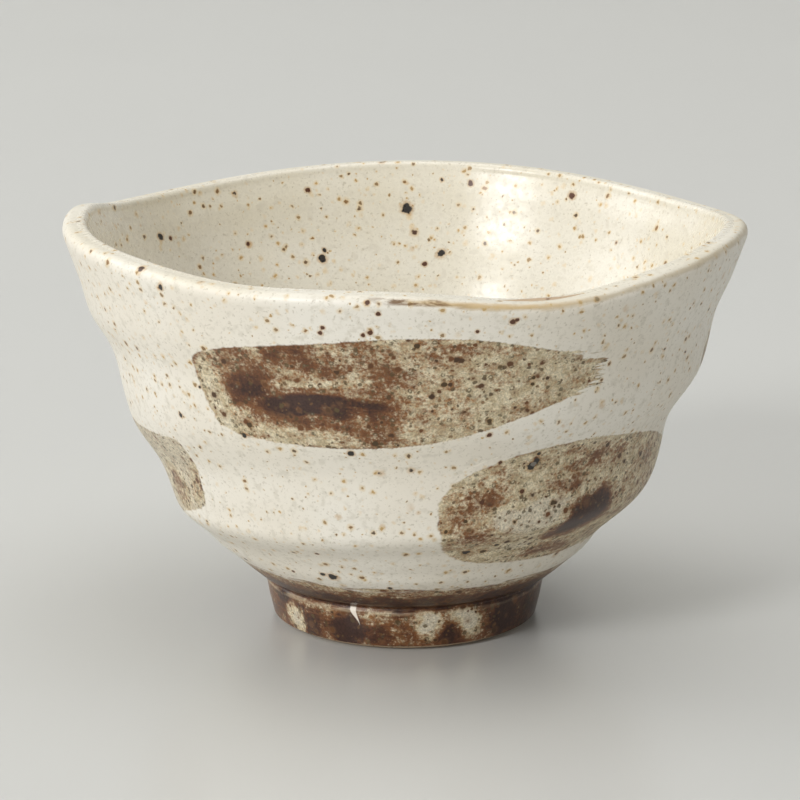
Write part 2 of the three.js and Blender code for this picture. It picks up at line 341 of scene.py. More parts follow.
def shape_by_hand(piece, reach):
    """Moves every point of a turned piece out by its reach and up with the waving rim."""
    places = points_of(piece) / MM
    angle = np.arctan2(places[:, 1], places[:, 0])
    radius = np.hypot(places[:, 0], places[:, 1])
    height = places[:, 2].copy()
    radius += reach(angle, height) * (radius > 0.01)
    lifted = height + rim_lift(angle, height)
    places = np.stack([radius * np.cos(angle), radius * np.sin(angle), lifted], axis=1)
    piece.data.vertices.foreach_set("co", (places * MM).ravel())
    keep_on_points(piece, "station", height)
    piece.data.update()


def thicken(piece, depth):
    """Gives a coat its thickness, into the clay."""
    bpy.context.view_layer.objects.active = piece
    wall = piece.modifiers.new("coat", "SOLIDIFY")
    wall.thickness = depth * MM
    wall.offset = -1.0
    bpy.ops.object.modifier_apply(modifier="coat")
    bpy.ops.object.select_all(action="DESELECT")
    piece.select_set(True)
    bpy.ops.object.shade_smooth_by_angle(angle=SOFT_EDGE)


def new_group(name, inputs, outputs):
    """An empty node group with its sockets, for an effect that several glazes share."""
    group = bpy.data.node_groups.new(name, "ShaderNodeTree")
    for socket, kind in inputs:
        group.interface.new_socket(socket, in_out="INPUT", socket_type="NodeSocket" + kind)
    for socket, kind in outputs:
        group.interface.new_socket(socket, in_out="OUTPUT", socket_type="NodeSocket" + kind)
    entry = group.nodes.new("NodeGroupInput")
    leave = group.nodes.new("NodeGroupOutput")
    return group, entry.outputs, leave.inputs


def roughened(tree, where, scale, reach):
    """The same places, each pushed aside by chance, within a reach in millimetres, for ragged edges."""
    chance = add_node(tree, "TexNoise", Vector=where, Scale=scale, Detail=1.0).outputs["Color"]
    aside = reckon_places(tree, "SUBTRACT", chance, (0.5, 0.5, 0.5))["Vector"]
    return reckon_places(tree, "MULTIPLY_ADD", aside, (reach * MM,) * 3, where)["Vector"]


def specks(tree, where, scale, share, smallest, largest):
    """Grains strewn through a glaze: one in each picked cell, with a mask, a halo and a chance tone."""
    cells = add_node(tree, "TexVoronoi", Vector=where, Scale=scale)
    chance = add_node(tree, "SeparateColor", Color=cells.outputs["Color"]).outputs
    picked = reckon(tree, "LESS_THAN", chance[0], share)
    size = between(tree, reckon(tree, "POWER", chance[1], 2.0), 0.0, 1.0, smallest, largest)
    away = cells.outputs["Distance"]
    heart = times(tree, size, 0.6)
    grain = times(tree, between(tree, away, size, heart), picked)
    wide = times(tree, size, 2.0)
    close = times(tree, size, 0.7)
    halo = times(tree, between(tree, away, wide, close), picked)
    return grain, halo, chance[2]


GLAZE_RESULTS = [("Colour", "Color"), ("Roughness", "Float"), ("Height", "Float")]
CURD_GREY = tone(203, 196, 179)
PEPPER_GREY = tone(170, 160, 138)
OCHRE = tone(214, 184, 128)
DEEP_OCHRE = tone(196, 160, 106)

speckled, entry, leave = new_group(
    "speckled_white_glaze",
    [("Place", "Vector"), ("Milk", "Color"), ("Cream", "Color")],
    GLAZE_RESULTS,
)
tree = speckled
place = entry["Place"]
ragged = roughened(tree, place, 1300.0, 0.7)
# The milky ground, with grey curd and pepper in it.
cloud = mottle(tree, place, 38.0, 2.0)
curd = mottle(tree, place, 700.0, 3.0, 0.55)
pepper = mottle(tree, place, 1700.0, 2.0, 0.6)
colour = blend(tree, between(tree, cloud, 0.35, 0.65), entry["Milk"], entry["Cream"])
colour = blend(tree, between(tree, curd, 0.5, 0.7, 0.0, 0.5), colour, CURD_GREY)
colour = blend(tree, between(tree, pepper, 0.57, 0.73, 0.0, 0.5), colour, PEPPER_GREY)
# Specks of three sizes over their ochre halos.
fine, fine_halo, fine_tone = specks(tree, ragged, 560.0, 1.0, 0.09, 0.25)
middle, middle_halo, middle_tone = specks(tree, ragged, 320.0, 0.9, 0.06, 0.18)
large, large_halo, large_tone = specks(tree, ragged, 170.0, 0.55, 0.06, 0.12)
colour = blend(tree, times(tree, fine_halo, 0.5), colour, OCHRE)
colour = blend(tree, times(tree, middle_halo, 0.55), colour, OCHRE)
colour = blend(tree, times(tree, large_halo, 0.6), colour, DEEP_OCHRE)
rust = blend(tree, fine_tone, tone(184, 148, 84), tone(104, 76, 42))
colour = blend(tree, times(tree, fine, 0.85), colour, rust)
rust = blend(tree, middle_tone, tone(140, 100, 48), tone(66, 48, 32))
colour = blend(tree, times(tree, middle, 0.92), colour, rust)
rust = blend(tree, large_tone, tone(86, 55, 36), tone(50, 44, 38))
colour = blend(tree, large, colour, rust)
feed(tree, colour, leave["Colour"])
feed(tree, between(tree, curd, 0.3, 0.7, 0.36, 0.46), leave["Roughness"])
curdled = times(tree, curd, 0.35)
uneven = reckon(tree, "MULTIPLY_ADD", mottle(tree, place, 110.0, 2.0), 2.2, curdled)
feed(tree, uneven, leave["Height"])


def white_glaze(tree, where, milk, cream):
    """The speckled glaze in two tones: its colour, its roughness and its relief."""
    made = add_node(tree, "Group", {"node_tree": speckled}, Place=where, Milk=milk, Cream=cream)
    return made.outputs[:]


def coat(tree, shader, colour, roughness, height, relief, gloss=0.5):
    """Feeds a glaze's colour, its roughness and its relief to the shader, and sets its gloss."""
    feed(tree, colour, shader.inputs["Base Color"])
    feed(tree, roughness, shader.inputs["Roughness"])
    shader.inputs["Specular IOR Level"].default_value = gloss
    bump = add_node(tree, "Bump", Height=height, Strength=0.5, Distance=relief)
    feed(tree, bump.outputs["Normal"], shader.inputs["Normal"])


SPOT_HALO = tone(211, 174, 123)


def iron_spots(tree, where, colour, spots):
    """Large iron spots in the glaze, each at its own place and of its own radius in millimetres."""
    grit = reckon(tree, "SUBTRACT", mottle(tree, where, 800.0, 2.0, 0.6), 0.5)
    grains = []
    for middle, size, shade in spots:
        gap = reckon_places(tree, "DISTANCE", where, middle)["Value"]
        away = reckon(tree, "MULTIPLY_ADD", grit, 1.5 * size * MM, gap)
        halo = between(tree, away, 1.7 * size * MM, 0.9 * size * MM, 0.0, 0.6)
        colour = blend(tree, halo, colour, SPOT_HALO, "MULTIPLY")
        grains.append((between(tree, away, size * MM, 0.72 * size * MM), shade))
    for grain, shade in grains:
        colour = blend(tree, grain, colour, shade)
    return colour


def placed(spots, place):
    """The middle of each spot on the bowl, with its radius and its shade."""
    middles = []
    for shade, rows in spots.items():
        middles += [(place(degrees, up), size, shade) for degrees, up, size in rows]
    return middles


inside_line = np.array(inside_outline())[INNER_LIP_STEPS:]
BLACK_IRON = tone(46, 42, 38)
BROWN_IRON = tone(84, 50, 30)


def inside_place(degrees, height):
    """A place on the inner wall, at an angle round the bowl and a height."""
    angle = math.radians(degrees)
    radius = float(np.interp(height, inside_line[::-1, 1], inside_line[::-1, 0]))
    lifted = height + float(rim_lift(angle, height))
    return (radius * math.cos(angle) * MM, radius * math.sin(angle) * MM, lifted * MM)


# The larger spots of each shade: degrees round from the right, height and radius in millimetres.
INSIDE_SPOTS = {
    BLACK_IRON: [
        (89.5, 64.2, 1.15), (108.5, 55.8, 0.85), (107.8, 57.4, 0.5), (82.0, 56.1, 0.85),
        (148.0, 65.3, 0.8), (200.0, 52.0, 0.8), (330.0, 60.0, 0.7),
    ],
    BROWN_IRON: [
        (85.5, 54.0, 0.55), (145.0, 64.6, 0.55), (54.5, 69.1, 0.75), (76.5, 69.0, 0.6),
        (110.0, 68.6, 0.6), (125.0, 60.5, 0.65), (41.0, 62.6, 0.45), (290.0, 45.0, 0.9),
    ],
}

# The inside's milk and cream are the outside's tones made darker: a painted shade over the whole inside of
# the bowl.
SHADED_INSIDE_MILK = tone(224, 219, 205)
SHADED_INSIDE_CREAM = tone(219, 212, 193)
WELL_MELTED = 0.12
GLAZE_RELIEF = 0.12 * MM

milky_inside, tree, shader, where = new_material("milky_glaze_inside")
colour, roughness, height = white_glaze(tree, where, SHADED_INSIDE_MILK, SHADED_INSIDE_CREAM)
colour = iron_spots(tree, where, colour, placed(INSIDE_SPOTS, inside_place))
roughness = reckon(tree, "SUBTRACT", roughness, WELL_MELTED)
coat(tree, shader, colour, roughness, height, GLAZE_RELIEF)

RING_DEPTH = 0.36
RING_PITCH = 24.0
RING_HEIGHT = 60.5
RINGS_FADE_IN = (24.0, 40.0)
RINGS_FADE_OUT = (66.0, 70.5)


def throwing_ring(angle, height):
    """The faint rings that the fingers left inside, fading out to the lip and to the floor."""
    fade = eased(height, *RINGS_FADE_IN) * (1 - eased(height, *RINGS_FADE_OUT))
    return RING_DEPTH * np.cos(2 * math.pi * (height - RING_HEIGHT) / RING_PITCH) * fade


inside_glaze = turn_up("milky_inside_glaze", inside_outline())
shape_by_hand(inside_glaze, throwing_ring)
thicken(inside_glaze, GLAZE)
inside_glaze.data.materials.append(milky_inside)
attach(inside_glaze, "root")
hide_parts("inside_glaze")


# White glaze outside
# The same glaze on the outside, from the crest of the lip down to the iron band above the foot.
# It follows the spiral finger marks, and runs thin under the lip, where the iron shows through.
MARK_DEPTH = 0.9
MARK_PITCH = 20.8
MARK_HEIGHT = 39.3
MARK_SWAY = 5.5
MARK_SKEW = 0.25
MARK_SOFTENED = 0.35
SOFT_SIDE = math.radians(255)
HIP_RIDGE = 0.35
HIP_RIDGE_HEIGHT = 15.8
HIP_RIDGE_REACH = 2.6
CREASE = 0.55
CREASE_HEIGHT = 23.3
CREASE_CLIMB = 2.9
CREASE_REACH = 2.1
CREASE_TURN = math.radians(250)
MARKS_FADE_IN = (0.05, 0.19)
MARKS_FADE_OUT = (0.68, 0.9)
BAND_TOP = 14.3
WALL_ROWS = 110
OUTER_LIP_STEPS = 16


def finger_mark(angle, height):
    """How far the spiral finger marks, the hip's ridge and the crease over it push the wall out."""
    rise = height - FOOT_HEIGHT
    fade = eased(rise / WHOLE_RISE, *MARKS_FADE_IN) * (1 - eased(rise / WHOLE_RISE, *MARKS_FADE_OUT))
    crest = MARK_HEIGHT - MARK_SWAY * np.sin(angle)
    phase = 2 * math.pi * (rise - crest) / MARK_PITCH - angle
    facing = np.cos(angle - SOFT_SIDE)
    depth = MARK_DEPTH * (1 - MARK_SOFTENED * eased(facing, 0.2, 1.0))
    ridge = HIP_RIDGE * (1 - eased(np.abs(height - HIP_RIDGE_HEIGHT), 0.0, HIP_RIDGE_REACH))
    fold = (height - CREASE_HEIGHT - CREASE_CLIMB * np.sin(angle - CREASE_TURN)) / CREASE_REACH
    crease = CREASE * (np.exp(-((fold - 1) ** 2)) - np.exp(-((fold + 1) ** 2)))
    crease = crease * eased(facing, 0.1, 0.75)
    return depth * np.cos(phase - MARK_SKEW * (1 - np.cos(phase))) * fade + ridge + crease


def wall_outline(low, high, rows):
    """The outside of the wall between two heights, in even rows."""
    heights = np.linspace(low, high, rows)
    radii = np.interp(heights, wall_line[:, 1], wall_line[:, 0])
    return list(zip(radii.tolist(), heights.tolist()))


lip = [on_lip(angle) for angle in np.linspace(-LIP_LEAN, math.pi / 2, OUTER_LIP_STEPS)]
outer_line = np.vstack([wall_line, lip[1:]])


def outside_place(degrees, height):
    """A place on the outer wall, at an angle round the bowl and a height."""
    angle = math.radians(degrees)
    radius = float(np.interp(height, outer_line[:, 1], outer_line[:, 0]) + finger_mark(angle, height))
    lifted = height + float(rim_lift(angle, height))
    return (radius * math.cos(angle) * MM, radius * math.sin(angle) * MM, lifted * MM)


OLIVE_IRON = tone(74, 56, 32)
GREY_IRON = tone(120, 116, 108)
# The larger spots of each shade: degrees round from the right, height and radius in millimetres.
OUTSIDE_SPOTS = {
    BLACK_IRON: [
        (249.0, 16.4, 0.95), (246.0, 16.8, 0.55), (265.5, 14.6, 0.45), (259.8, 43.6, 0.65),
        (230.5, 53.0, 0.35), (223.0, 46.3, 0.5), (228.4, 70.4, 0.6), (301.0, 71.9, 0.5),
        (238.8, 45.2, 0.52), (296.9, 40.6, 0.8), (295.8, 39.5, 0.9), (296.8, 42.1, 0.42),
        (284.8, 23.0, 0.75), (292.0, 24.2, 0.5), (20.0, 35.0, 0.9), (120.0, 28.0, 0.95),
    ],
    BROWN_IRON: [
        (235.8, 16.3, 0.35), (248.0, 22.2, 0.4), (257.0, 66.9, 0.42), (256.6, 65.9, 0.45),
        (264.4, 66.3, 0.52), (263.4, 65.8, 0.4), (281.2, 67.4, 0.4), (286.5, 69.4, 0.6),
        (287.3, 69.8, 0.4), (264.2, 71.6, 0.45), (265.8, 69.7, 0.42), (285.2, 47.2, 0.48),
        (286.0, 33.5, 0.55), (294.8, 34.8, 0.5), (288.8, 41.1, 0.4), (70.0, 52.0, 0.8),
        (150.0, 58.0, 0.7),
    ],
    OLIVE_IRON: [
        (271.8, 64.1, 0.55), (276.5, 57.0, 0.55), (292.0, 58.0, 0.5), (292.0, 56.7, 0.4),
        (284.8, 49.9, 0.5), (264.5, 45.7, 0.6), (240.5, 47.5, 0.55), (302.8, 31.8, 0.6),
        (294.0, 29.1, 0.42), (289.2, 22.8, 0.6), (278.8, 28.3, 0.42), (282.8, 30.1, 0.36),
    ],
    GREY_IRON: [
        (296.3, 40.0, 0.6),
    ],
}

spotted, entry, leave = new_group(
    "outside_iron_spots",
    [("Place", "Vector"), ("Glaze", "Color")],
    [("Colour", "Color")],
)
spots = placed(OUTSIDE_SPOTS, outside_place)
feed(spotted, iron_spots(spotted, entry["Place"], entry["Glaze"], spots), leave["Colour"])


def with_spots(tree, where, colour):
    """A colour with the larger spots of the outside laid over it."""
    made = add_node(tree, "Group", {"node_tree": spotted}, Place=where, Glaze=colour)
    return made.outputs["Colour"]


def attribute(tree, name):
    """A value that is kept on the points of the mesh."""
    return add_node(tree, "Attribute", {"attribute_name": name}).outputs["Fac"]


def round_from_front(tree, where):
    """The angle round the bowl in radians, nought in front and rising to the right, and the height."""
    axes = add_node(tree, "SeparateXYZ", Vector=where).outputs
    return reckon(tree, "ARCTAN2", axes[0], times(tree, axes[1], -1.0)), axes[2]


MILK = tone(234, 229, 217)
CREAM = tone(230, 223, 208)
CREST = (71.4, 72.5)
LIP_LINE = 71.9
LIP_LINE_REACH = 0.85
WORN_TAN = tone(170, 152, 116)
WORN_OCHRE = tone(204, 170, 110)
WORN_BROWN = tone(112, 80, 46)

milky_outside, tree, shader, where = new_material("milky_glaze_outside")
station = attribute(tree, "station")
# Toward the crest of the lip the outside takes the inside's darker tones, so the inside's painted shade
# runs up over the crest.
crest = between(tree, station, *CREST)
milk = blend(tree, crest, MILK, SHADED_INSIDE_MILK)
cream = blend(tree, crest, CREAM, SHADED_INSIDE_CREAM)
colour, roughness, height = white_glaze(tree, where, milk, cream)
colour = with_spots(tree, where, colour)
angle, _ = round_from_front(tree, where)
# The worn line under the lip: tan to the right, ochre and brown in front.
round_lip = times(tree, angle, 14.0)
worn = add_node(tree, "CombineXYZ", X=round_lip, Y=station)
thin = mottle(tree, worn.outputs[0], 1.0, 4.0, 0.65)
off_line = reckon(tree, "ABSOLUTE", reckon(tree, "SUBTRACT", station, LIP_LINE))
off_line = swayed(tree, off_line, thin, -1.4)
below_crest = between(tree, station, 72.5, 72.2)
line = times(tree, between(tree, off_line, LIP_LINE_REACH, 0.0), below_crest)
tan_share = band(tree, angle, (-0.1, 0.12), (2.0, 1.3), 0.55)
colour = blend(tree, times(tree, line, tan_share), colour, WORN_TAN)
ochre_share = band(tree, angle, (-0.06, 0.08), (0.62, 0.3), 0.6)
colour = blend(tree, times(tree, line, ochre_share), colour, WORN_OCHRE)
brown_share = band(tree, angle, (-0.16, -0.02), (0.2, 0.06), 0.9)
brown_share = times(tree, brown_share, between(tree, thin, 0.42, 0.6))
colour = blend(tree, times(tree, line, brown_share), colour, WORN_BROWN)
coat(tree, shader, colour, roughness, height, GLAZE_RELIEF)

outside_outline = wall_outline(BAND_TOP, wall_line[-1, 1], WALL_ROWS) + lip[1:]
outside_glaze = turn_up("milky_outside_glaze", outside_outline)
shape_by_hand(outside_glaze, finger_mark)
thicken(outside_glaze, GLAZE)
outside_glaze.data.materials.append(milky_outside)
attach(outside_glaze, "root")
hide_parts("outside_glaze")


# Iron glaze on the foot
# A thin iron glaze brushed round the foot, across the joint and up the lowest part of the wall.
# It pools dark in the joint, breaks pale on the edges, and stops short of the resting face. The pale ledge
# under the joint also carries a painted highlight.
FOOT_BASE_RADIUS = 24.0
FOOT_TOP_RADIUS = 25.4
BARE_EDGE = 0.9
THIN_IRON = tone(183, 167, 135)
BROKEN_IRON = tone(212, 200, 171)
BRUSHED_GREY = tone(142, 126, 104)
FADED_IRON = tone(206, 198, 181)
LIGHT_BROWN = tone(153, 106, 60)
MIDDLE_BROWN = tone(118, 76, 44)
DARK_BROWN = tone(79, 48, 32)
POOL_BROWN = tone(60, 38, 30)
CRYSTAL_EYE = tone(208, 200, 176)
CRYSTAL_RING = tone(94, 84, 60)

iron, entry, leave = new_group(
    "iron_glaze",
    [("Place", "Vector"), ("Brush", "Vector"), ("Density", "Float")],
    GLAZE_RESULTS,
)
tree = iron
place = entry["Place"]
cloud = mottle(tree, place, 230.0, 4.0, 0.6)
streak = mottle(tree, entry["Brush"], 1.0, 3.0, 0.6)
grit = mottle(tree, place, 1900.0, 3.0, 0.75)
ragged = roughened(tree, place, 1500.0, 0.5)
# The thin ground, which breaks pale and is streaked by the brush.
broken = between(tree, mottle(tree, place, 520.0, 3.0, 0.6), 0.38, 0.62)
colour = blend(tree, broken, THIN_IRON, BROKEN_IRON)
colour = blend(tree, between(tree, streak, 0.52, 0.68, 0.0, 0.35), colour, BRUSHED_GREY)
colour = blend(tree, between(tree, entry["Density"], 0.16, 0.02, 0.0, 0.55), colour, FADED_IRON)
# The brown that covers it where the iron lies thick, darkest in the pools.
density = swayed(tree, entry["Density"], cloud, 1.0)
density = swayed(tree, density, streak, 0.5)
clot = mottle(tree, place, 1150.0, 2.0, 0.6)
cover = swayed(tree, density, grit, 0.8)
cover = swayed(tree, cover, clot, 0.9)
brown = blend(tree, between(tree, density, 0.25, 0.55), LIGHT_BROWN, MIDDLE_BROWN)
brown = blend(tree, between(tree, density, 0.55, 0.85), brown, DARK_BROWN)
colour = blend(tree, between(tree, cover, 0.17, 0.66), colour, brown)
unevenness = reckon(tree, "SUBTRACT", cover, entry["Density"])
pool = reckon(tree, "MULTIPLY_ADD", unevenness, 0.7, entry["Density"])
colour = blend(tree, between(tree, pool, 0.8, 0.94), colour, POOL_BROWN)
grain = add_node(tree, "HueSaturation", Color=colour)
sand = mottle(tree, place, 2600.0, 2.0, 0.7)
feed(tree, between(tree, sand, 0.3, 0.7, 0.72, 1.26), grain.inputs["Value"])
colour = grain.outputs["Color"]
# Ring-shaped crystals, each with a pale eye.
cells = add_node(tree, "TexVoronoi", Vector=ragged, Scale=560.0)
chance = add_node(tree, "SeparateColor", Color=cells.outputs["Color"]).outputs
away = cells.outputs["Distance"]
picked = reckon(tree, "LESS_THAN", chance[0], 0.85)
picked = times(tree, picked, between(tree, density, 1.0, 0.6))
ring = band(tree, away, (0.06, 0.15), (0.3, 0.2))
ring = times(tree, times(tree, ring, picked), between(tree, grit, 0.34, 0.54))
eye = times(tree, between(tree, away, 0.16, 0.06, 0.0, 0.4), picked)
colour = blend(tree, eye, colour, CRYSTAL_EYE)
colour = blend(tree, times(tree, ring, 0.85), colour, CRYSTAL_RING)
# Rust dots of three sizes.
dot, _, _ = specks(tree, ragged, 900.0, 1.0, 0.16, 0.36)
colour = blend(tree, times(tree, dot, 0.75), colour, tone(108, 78, 46))
dot, _, dot_tone = specks(tree, ragged, 640.0, 1.0, 0.18, 0.36)
olive = blend(tree, dot_tone, tone(92, 76, 46), tone(72, 52, 30))
colour = blend(tree, times(tree, dot, 0.85), colour, olive)
dot, dot_halo, dot_tone = specks(tree, ragged, 440.0, 1.0, 0.14, 0.34)
colour = blend(tree, times(tree, dot_halo, 0.35), colour, tone(140, 100, 64))
rust = blend(tree, dot_tone, tone(106, 66, 34), tone(66, 46, 28))
colour = blend(tree, dot, colour, rust)
feed(tree, colour, leave["Colour"])
feed(tree, between(tree, density, 0.2, 0.9, 0.42, 0.28), leave["Roughness"])
feed(tree, reckon(tree, "MULTIPLY_ADD", grit, 0.4, times(tree, cloud, 1.5)), leave["Height"])


def iron_glaze(tree, where, brush, density):
    """The iron glaze by its density, streaked along the brush: its colour, its roughness and its relief."""
    made = add_node(tree, "Group", {"node_tree": iron}, Place=where, Brush=brush, Density=density)
    return made.outputs[:]


POOL_FADE = (0.45, 1.25)


def pooled(across, up, pools):
    """How thick the iron lies, summed over soft oval pools."""
    amount = np.zeros_like(across)
    for middle_across, middle_up, reach_across, reach_up, turn, thick in pools:
        cos, sin = math.cos(math.radians(turn)), math.sin(math.radians(turn))
        x = (across - middle_across) * cos + (up - middle_up) * sin
        y = (up - middle_up) * cos - (across - middle_across) * sin
        amount += thick * (1 - eased(np.hypot(x / reach_across, y / reach_up), *POOL_FADE))
    return amount


# Each pool on the foot: degrees round from the right and height in millimetres, its reach in both, its turn
# in degrees, and how much thicker or thinner the glaze lies there.
FOOT_POOLS = [
    (-83, 6.0, 6.8, 2.8, 0, -0.36),
    (-79, 4.3, 7.0, 2.6, 12, -0.38),
    (-81, 5.2, 5.0, 3.0, 0, -0.12),
    (-65, 5.9, 7.4, 2.4, -8, -0.36),
    (-61, 4.2, 5.6, 3.0, 0, -0.38),
    (-63, 5.0, 4.0, 3.0, 0, -0.12),
    (-72, 7.0, 13.0, 1.3, 0, -0.28),
    (-144, 4.2, 5.0, 2.6, 0, -0.48),
    (-140, 2.8, 5.0, 2.4, 10, -0.5),
    (-126, 6.2, 9.0, 1.8, 0, -0.06),
    (-90, 9.4, 14.0, 1.4, 0, 0.14),
    (-102, 6.6, 7.0, 1.8, 0, -0.26),
    (-115, 3.2, 8.5, 3.4, 0, 0.36),
    (-150, 6.8, 8.0, 1.6, 0, 0.3),
    (-133, 2.6, 5.0, 2.4, 0, 0.25),
    (-72, 2.6, 3.0, 2.6, 0, 0.3),
    (-46, 4.5, 6.0, 4.0, 0, 0.3),
    (-128, 7.3, 14.0, 0.9, 0, -0.18),
    (-96, 3.6, 9.0, 3.0, 0, 0.02),
    (-30, 4.0, 26.0, 6.0, 0, 0.16),
    (28, 5.8, 15.0, 2.2, 6, -0.42),
    (71, 4.2, 5.6, 3.8, 0, -0.6),
    (82, 6.0, 4.0, 2.0, 0, -0.4),
    (142, 5.4, 17.0, 2.4, -4, -0.4),
]

FRINGE_REACH = 6.5 * MM
BAND_EDGE = (13.3 * MM, 14.7 * MM)
PALE_LEDGE_AND_HIGHLIGHT = tone(206, 190, 160)
DRIP_TOP = 7.9 * MM
DRIP_END = 4.6 * MM
DRIP_ANGLES = (-0.372, -0.326)
DRIP_WIDTH = 0.022
DRIP_CREAM = tone(240, 230, 214)
# Each seam in the glaze: its angle from the front in radians, and the heights of its two ends.
SEAMS = [(-0.318, 5.2 * MM, 0.8 * MM), (-0.806, 6.6 * MM, 2.2 * MM)]
SEAM_FADE = 0.6 * MM
SEAM_BROWN = tone(62, 42, 34)
IRON_RELIEF = 0.15 * MM
IRON_GLOSS = 0.4

dark_foot, tree, shader, where = new_material("iron_glaze_on_foot")
angle, level = round_from_front(tree, where)
along = times(tree, angle, 5.0)
brush = add_node(tree, "CombineXYZ", X=along, Y=times(tree, level, 1400.0))
colour, roughness, height = iron_glaze(tree, where, brush.outputs[0], attribute(tree, "iron"))
white, _, _ = white_glaze(tree, where, MILK, CREAM)
# The band's ragged upper edge, and the pale ledge under the joint: glaze broken thin on the edge, with a
# painted highlight over it that is strongest at the left.
fringe = mottle(tree, brush.outputs[0], 1.0, 4.0, 0.65)
fringe = swayed(tree, level, fringe, FRINGE_REACH)
upper = between(tree, fringe, *BAND_EDGE)
colour = blend(tree, upper, colour, white)
ledge_and_highlight = band(tree, level, (6.8 * MM, 7.4 * MM), (8.1 * MM, 7.6 * MM))
ledge_and_highlight = times(tree, ledge_and_highlight, between(tree, fringe, 8.3 * MM, 6.7 * MM, 0.0, 0.45))
# The ledge's painted highlight is full at the left, where the light falls, and fades toward the right.
ledge_and_highlight = times(tree, ledge_and_highlight, between(tree, angle, -0.2, 0.3, 1.0, 0.3))
colour = blend(tree, ledge_and_highlight, colour, PALE_LEDGE_AND_HIGHLIGHT)
# A cream drip that narrows downward, and dark seams in the glaze.
off_drip = reckon(tree, "SUBTRACT", angle, between(tree, level, DRIP_TOP, DRIP_END, *DRIP_ANGLES))
wide = between(tree, level, DRIP_END, DRIP_TOP, 0.0, DRIP_WIDTH)
drip = between(tree, reckon(tree, "SUBTRACT", reckon(tree, "ABSOLUTE", off_drip), wide), 0.004, -0.004)
drip_span = band(tree, level, (DRIP_END, DRIP_END + 0.3 * MM), (8.4 * MM, 7.8 * MM))
drip = times(tree, drip, drip_span)
for middle, top, low in SEAMS:
    off_seam = reckon(tree, "ABSOLUTE", reckon(tree, "SUBTRACT", angle, middle))
    seam_span = band(tree, level, (low, low + SEAM_FADE), (top, top - SEAM_FADE), 0.7)
    seam = times(tree, between(tree, off_seam, 0.016, 0.006), seam_span)
    colour = blend(tree, seam, colour, SEAM_BROWN)
colour = blend(tree, drip, colour, DRIP_CREAM)
coat(tree, shader, colour, roughness, height, IRON_RELIEF, IRON_GLOSS)

BAND_BASE = 9.4
BAND_ROWS = 14
JOINT_GROOVE = [(25.45, 8.5), (25.1, 8.05), (25.55, 7.5)]
FOOT_ROUNDING = 0.6
FOOT_ROW = 0.35
IRON_ON_FOOT = 0.7

foot_corners = wall_outline(BAND_TOP, BAND_BASE, BAND_ROWS) + JOINT_GROOVE
foot_corners += [(FOOT_TOP_RADIUS - 0.02, 6.6), (24.9, 4.0), (FOOT_BASE_RADIUS + 0.15, BARE_EDGE)]
foot_outline = rounded(foot_corners, FOOT_ROUNDING)
foot_rows = [foot_outline[0]]
for above, below in zip(foot_outline, foot_outline[1:]):
    step = np.subtract(below, above)
    rows = max(1, int(math.dist(above, below) / FOOT_ROW))
    foot_rows += [tuple(above + step * share) for share in np.linspace(0, 1, rows + 1)[1:]]
foot_glaze = turn_up("iron_foot_glaze", foot_rows[::-1])
shape_by_hand(foot_glaze, finger_mark)
places = points_of(foot_glaze)
degrees = np.degrees(np.arctan2(places[:, 1], places[:, 0]))
heights = places[:, 2] / MM
thickness = pooled(degrees, heights, FOOT_POOLS) + IRON_ON_FOOT
# Thinner up the wall, and thicker in the joint and just over it.
thickness -= 0.26 * eased(heights, 10.6, 13.4)
thickness += 0.2 * (1 - eased(np.abs(heights - 8.8), 0.5, 1.6))
thickness += 0.14 * (1 - eased(np.abs(heights - 10.4), 0.6, 2.2))
keep_on_points(foot_glaze, "iron", thickness)
thicken(foot_glaze, GLAZE)
foot_glaze.data.materials.append(dark_foot)
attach(foot_glaze, "root")
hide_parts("foot_glaze")


# Coat in the foot's well
# The same iron glaze, swept thinly over the underside of the bowl inside the ring, and down the ring's
# inner side to a bare edge.
dark_well, tree, shader, where = new_material("iron_glaze_in_well")
axes = add_node(tree, "SeparateXYZ", Vector=where).outputs
squared = times(tree, axes[1], axes[1])
out = reckon(tree, "SQRT", reckon(tree, "MULTIPLY_ADD", axes[0], axes[0], squared))
swept = add_node(tree, "CombineXYZ", X=times(tree, out, 700.0))
feed(tree, times(tree, axes[0], 90.0), swept.inputs["Y"])
feed(tree, times(tree, axes[1], 90.0), swept.inputs["Z"])
colour, roughness, height = iron_glaze(tree, where, swept.outputs[0], attribute(tree, "iron"))
coat(tree, shader, colour, roughness, height, IRON_RELIEF)

WELL_CEILING = 7.35
WELL_COAT_EDGE = (17.35, 2.0)
WELL_ROUNDING = 1.6
IRON_IN_WELL = 0.62

well_corners = [(0.0, WELL_CEILING), (WELL_TOP - 1.2, WELL_CEILING), WELL_COAT_EDGE]
well_outline = rounded(well_corners, WELL_ROUNDING, 8)
middle_steps = [(radius, WELL_CEILING) for radius in np.linspace(0, WELL_TOP - 3.0, 12)]
foot_well = turn_up("iron_well_glaze", middle_steps + well_outline[1:])
bpy.ops.object.mode_set(mode="EDIT")
bpy.ops.mesh.select_all(action="SELECT")
bpy.ops.mesh.flip_normals()
bpy.ops.object.mode_set(mode="OBJECT")
keep_on_points(foot_well, "iron", np.full(len(foot_well.data.vertices), IRON_IN_WELL))
thicken(foot_well, GLAZE)
foot_well.data.materials.append(dark_well)
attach(foot_well, "root")
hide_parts("foot_well_glaze")


# Iron brush strokes
# Four strokes of iron slip, laid on the white glaze with a broad soft brush before the firing. The iron
# sinks in. It pools where the brush was full, breaks into crystals where it is thin, and runs dry in
# lines left by the bristles.
RINGS = 26
ROUND = 420
LAID_ON = 0.03
MARGIN_RINGS = 4
STROKE_DEPTH = 0.35
EDGE_STEPS = 2600
BRISTLE_REACH = 16.0


